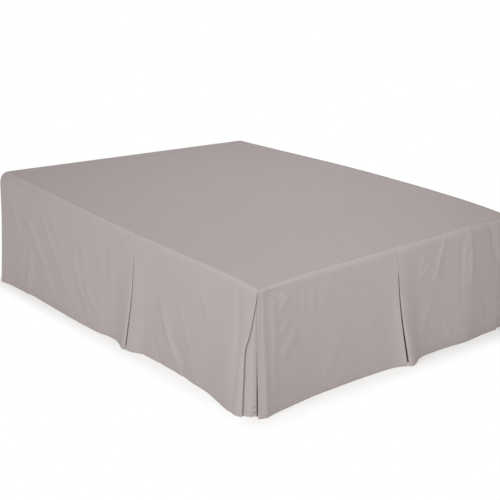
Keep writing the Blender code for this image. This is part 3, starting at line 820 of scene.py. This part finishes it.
def insert_points(first, second):
    """Rows of an insert from under the seam down to its hem, with a deep tuck at its corner."""
    reach = 0.180
    corner = first.plan(second.plane, first.plane)
    top = deck_level(*corner) - max(first.roll(second.plane), second.roll(-first.plane))
    rows = []
    for fall in evenly(0.0, 0.86, 46) + evenly(0.868, 1.0, 22):
        depth = mix(0.0044, 0.0128, fall)
        bend = mix(0.006, 0.022, fall)
        first_face = first.plane + first.flare(second.plane, fall) - depth
        second_face = second.plane + second.flare(-first.plane, fall) - depth
        height = mix(top, HEM_CLEARANCE, fall)
        row = []
        for place in crowded(second.plane - reach, second_face - bend, 26):
            row.append((*first.plan(place, first.plane + first.flare(place, fall) - depth), height))
        tuck = mix(0.005, 0.015, fall) * min(fall / 0.12, 1.0)
        # just over the floor the insert bunches into small rolls
        bunch = 0.0060 * math.sin(math.pi * height / 0.024) ** 2 * math.exp(-((height / 0.045) ** 2))
        for angle in evenly(5, 85, 16):
            turn = math.radians(angle)
            sunk = tuck * smooth_step((angle - 26) / 22) + bunch
            along = second_face - bend + (bend - sunk) * math.sin(turn)
            out = first_face - bend + (bend - sunk) * math.cos(turn)
            row.append((*first.plan(along, out), height))
        for place in crowded(bend - first_face, reach - first.plane, 26):
            sunk = tuck * (1 - smooth_step((place - bend + first_face) / 0.030))
            out = second.plane + second.flare(place, fall) - depth - sunk
            row.append((*second.plan(place, out), height))
        rows.append(row)
    return np.array(rows)


for side_name, first, second in (("left", left, foot), ("right", foot, right)):
    grid = insert_points(first, second)
    widths = np.linalg.norm(np.diff(grid[30], axis=0), axis=1)
    cut_places = np.concatenate([[0.0], np.cumsum(widths)])[None, :] + grid[:, :, 2] * 0
    insert = sew_sheet(
        f"{side_name}_insert_cloth", grid, cut_places, grid[:, :, 2], painted_lighter_drop_cloth,
        f"corner_insert_{side_name}",
    )


# The studio: a pale floor that turns into a glowing white sweep just off the bed, soft lights
# on the left, before the foot and overhead, and an even white surround.
bpy.ops.object.select_all(action="DESELECT")
bpy.ops.mesh.primitive_plane_add(size=60.0)
floor = bpy.context.object
floor.name = "studio_floor"
paint = bpy.data.materials.new("matt_white_paint")
paint.use_nodes = True
tree = paint.node_tree
paint_shader = tree.nodes["Principled BSDF"]
paint_shader.inputs["Base Color"].default_value = linear("#F4F3F1")
paint_shader.inputs["Roughness"].default_value = 0.95
paint_shader.inputs["Specular IOR Level"].default_value = 0.1
floor_place = add_node(tree, "ShaderNodeTexCoord")
mirrored = add_node(tree, "ShaderNodeVectorMath", {"operation": "ABSOLUTE"}, {
    0: floor_place.outputs["Object"],
})
past_bed = add_node(tree, "ShaderNodeVectorMath", {"operation": "SUBTRACT"}, {
    0: mirrored.outputs[0], 1: (0.775, 1.00, 0.0),
})
outside = add_node(tree, "ShaderNodeVectorMath", {"operation": "MAXIMUM"}, {
    0: past_bed.outputs[0], 1: (0, 0, 0),
})
distance = add_node(tree, "ShaderNodeVectorMath", {"operation": "LENGTH"}, {
    0: outside.outputs[0],
})
# the paint shows most beside the hem and is all glow from 0.12 m off the bed
sweep = add_node(tree, "ShaderNodeMapRange", {"interpolation_type": "SMOOTHSTEP"}, {
    "Value": distance.outputs["Value"], "From Min": 0.0, "From Max": 0.12, "To Min": 0.38,
})
glow = add_node(tree, "ShaderNodeEmission", {}, {"Color": (1.0, 1.0, 1.0, 1.0), "Strength": 1.0})
cove = add_node(tree, "ShaderNodeMixShader", {}, {
    0: sweep.outputs[0], 1: paint_shader.outputs[0], 2: glow.outputs[0],
})
tree.links.new(cove.outputs[0], tree.nodes["Material Output"].inputs["Surface"])
floor.data.materials.append(paint)

world = bpy.data.worlds.new("white_surround")
world.use_nodes = True
tree = world.node_tree
seen = add_node(tree, "ShaderNodeLightPath")
surround = tree.nodes["Background"]
surround.inputs["Color"].default_value = (1.0, 1.0, 1.0, 1.0)
surround.inputs["Strength"].default_value = 0.31
backdrop = add_node(tree, "ShaderNodeBackground", {}, {"Color": (1.0, 1.0, 1.0, 1.0), "Strength": 1.0})
either = add_node(tree, "ShaderNodeMixShader", {}, {
    0: seen.outputs["Is Camera Ray"], 1: surround.outputs[0], 2: backdrop.outputs[0],
})
tree.links.new(either.outputs[0], tree.nodes["World Output"].inputs["Surface"])
bpy.context.scene.world = world
bpy.context.scene.view_settings.view_transform = "Standard"


def soft_light(name, place, aim, size, power, spread=180):
    """Hang a round soft light turned towards a point; its grid narrows the beam to a spread."""
    lamp = bpy.data.lights.new(name, "AREA")
    lamp.shape = "DISK"
    lamp.size = size
    lamp.energy = power
    lamp.spread = math.radians(spread)
    lamp_object = bpy.data.objects.new(name, lamp)
    lamp_object.location = place
    lamp_object.rotation_mode = "QUATERNION"
    lamp_object.rotation_quaternion = (Vector(aim) - Vector(place)).to_track_quat("-Z", "Y")
    lamp_object.visible_camera = False
    bpy.context.scene.collection.objects.link(lamp_object)


soft_light("left_softbox", (-4.75, -1.32, 3.70), (-0.77, -0.22, 0.30), 1.8, 39.6, spread=89)
soft_light("foot_softbox", (-1.43, -3.43, 2.40), (-0.05, -0.98, 0.30), 1.4, 8.3, spread=61)
soft_light("overhead_softbox", (0.79, 0.52, 3.06), (0.79, 0.52, 0.0), 2.0, 39.2)


# The camera stands off the left foot corner, a little above the bed, with a long lens.
lens = bpy.data.cameras.new("camera")
lens.lens = 85.80
lens.sensor_width = 36.0
lens.clip_end = 200.0
camera = bpy.data.objects.new("camera", lens)
azimuth, elevation, tilt = -0.690273, 0.322126, 0.0079192
back = np.array([
    math.sin(azimuth) * math.cos(elevation),
    -math.cos(azimuth) * math.cos(elevation),
    math.sin(elevation),
])
sideways = np.cross((0.0, 0.0, 1.0), back)
sideways /= np.linalg.norm(sideways)
upright = np.cross(back, sideways)
right_axis = math.cos(tilt) * sideways + math.sin(tilt) * upright
up_axis = math.cos(tilt) * upright - math.sin(tilt) * sideways
camera.matrix_world = Matrix((
    (right_axis[0], up_axis[0], back[0], -3.46272),
    (right_axis[1], up_axis[1], back[1], -4.19209),
    (right_axis[2], up_axis[2], back[2], 2.08242),
    (0.0, 0.0, 0.0, 1.0),
))
bpy.context.scene.collection.objects.link(camera)
bpy.context.scene.camera = camera
